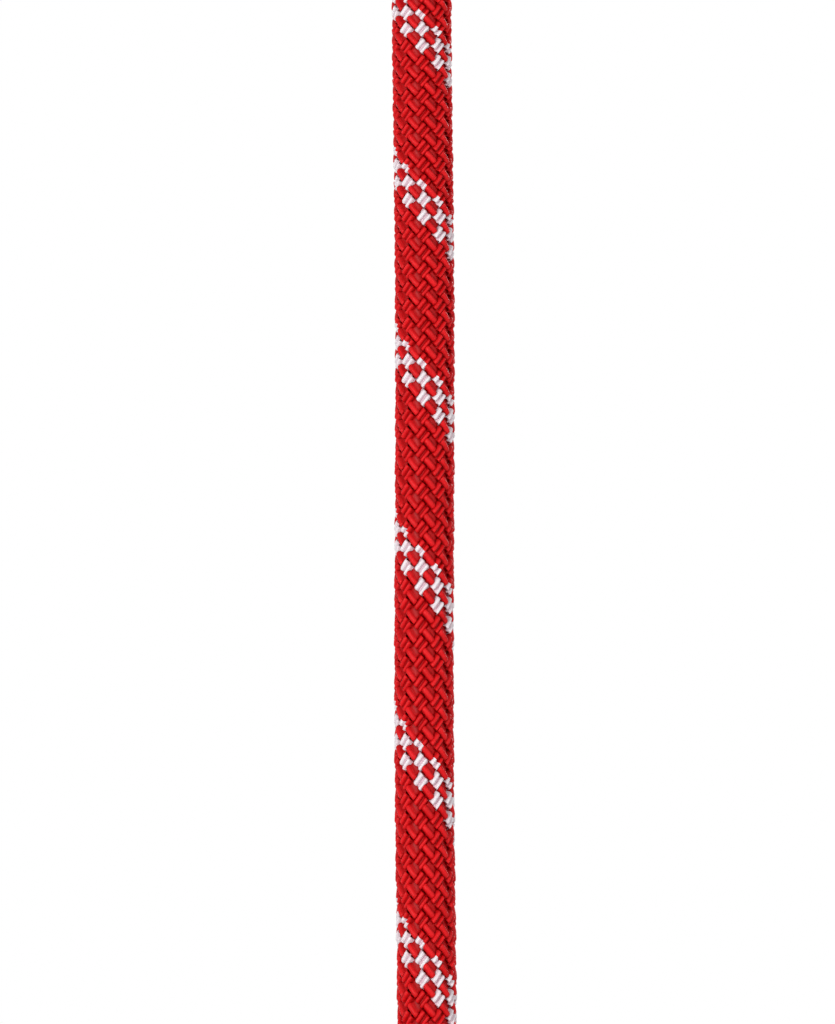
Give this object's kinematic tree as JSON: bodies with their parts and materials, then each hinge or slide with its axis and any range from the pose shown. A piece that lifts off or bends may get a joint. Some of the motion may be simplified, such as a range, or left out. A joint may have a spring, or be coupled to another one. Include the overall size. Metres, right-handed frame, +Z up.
{
  "type": "dynamic climbing rope",
  "caption": "Red braided kernmantle climbing rope with a white tracer, hanging from a bowline loop down to an overhand stopper knot and a sealed tail.",
  "frame": {"origin": "where an anchor's bar bears, on the inside of the top of the bowline's loop", "axes": "+Z up along the hanging rope, X across the loop in its plane, Y through the loop along the anchor's bar"},
  "size_m": [0.073, 0.0547, 0.4494],
  "materials": {
    "sheath": "braided polyamide, slight sheen",
    "tracer": "braided polyamide, slight sheen",
    "core": "twisted polyamide",
    "marker": "twisted thread",
    "sleeve": "satin shrunk film",
    "sealed": "melted and set"
  },
  "bodies": {
    "root": {"sheath_anchor_loop": "sheath", "sheath_hanging_run": "sheath", "sheath_stopper_knot": "sheath", "core_anchor_loop": "core", "core_stopper_knot": "core", "core_strand_01": "core", "core_strand_02": "core", "core_strand_03": "core", "core_strand_04": "core", "core_strand_05": "core", "core_strand_06": "core", "core_strand_07": "core", "core_strand_08": "core", "core_strand_09": "core", "core_strand_10": "core", "core_strand_11": "core", "core_strand_12": "core", "marker_thread": "marker", "upper_end_sleeve": "sleeve", "lower_end_sleeve": "sleeve", "upper_sealed_end": "sealed", "lower_sealed_end": "sealed"}
  },
  "joints": []
}
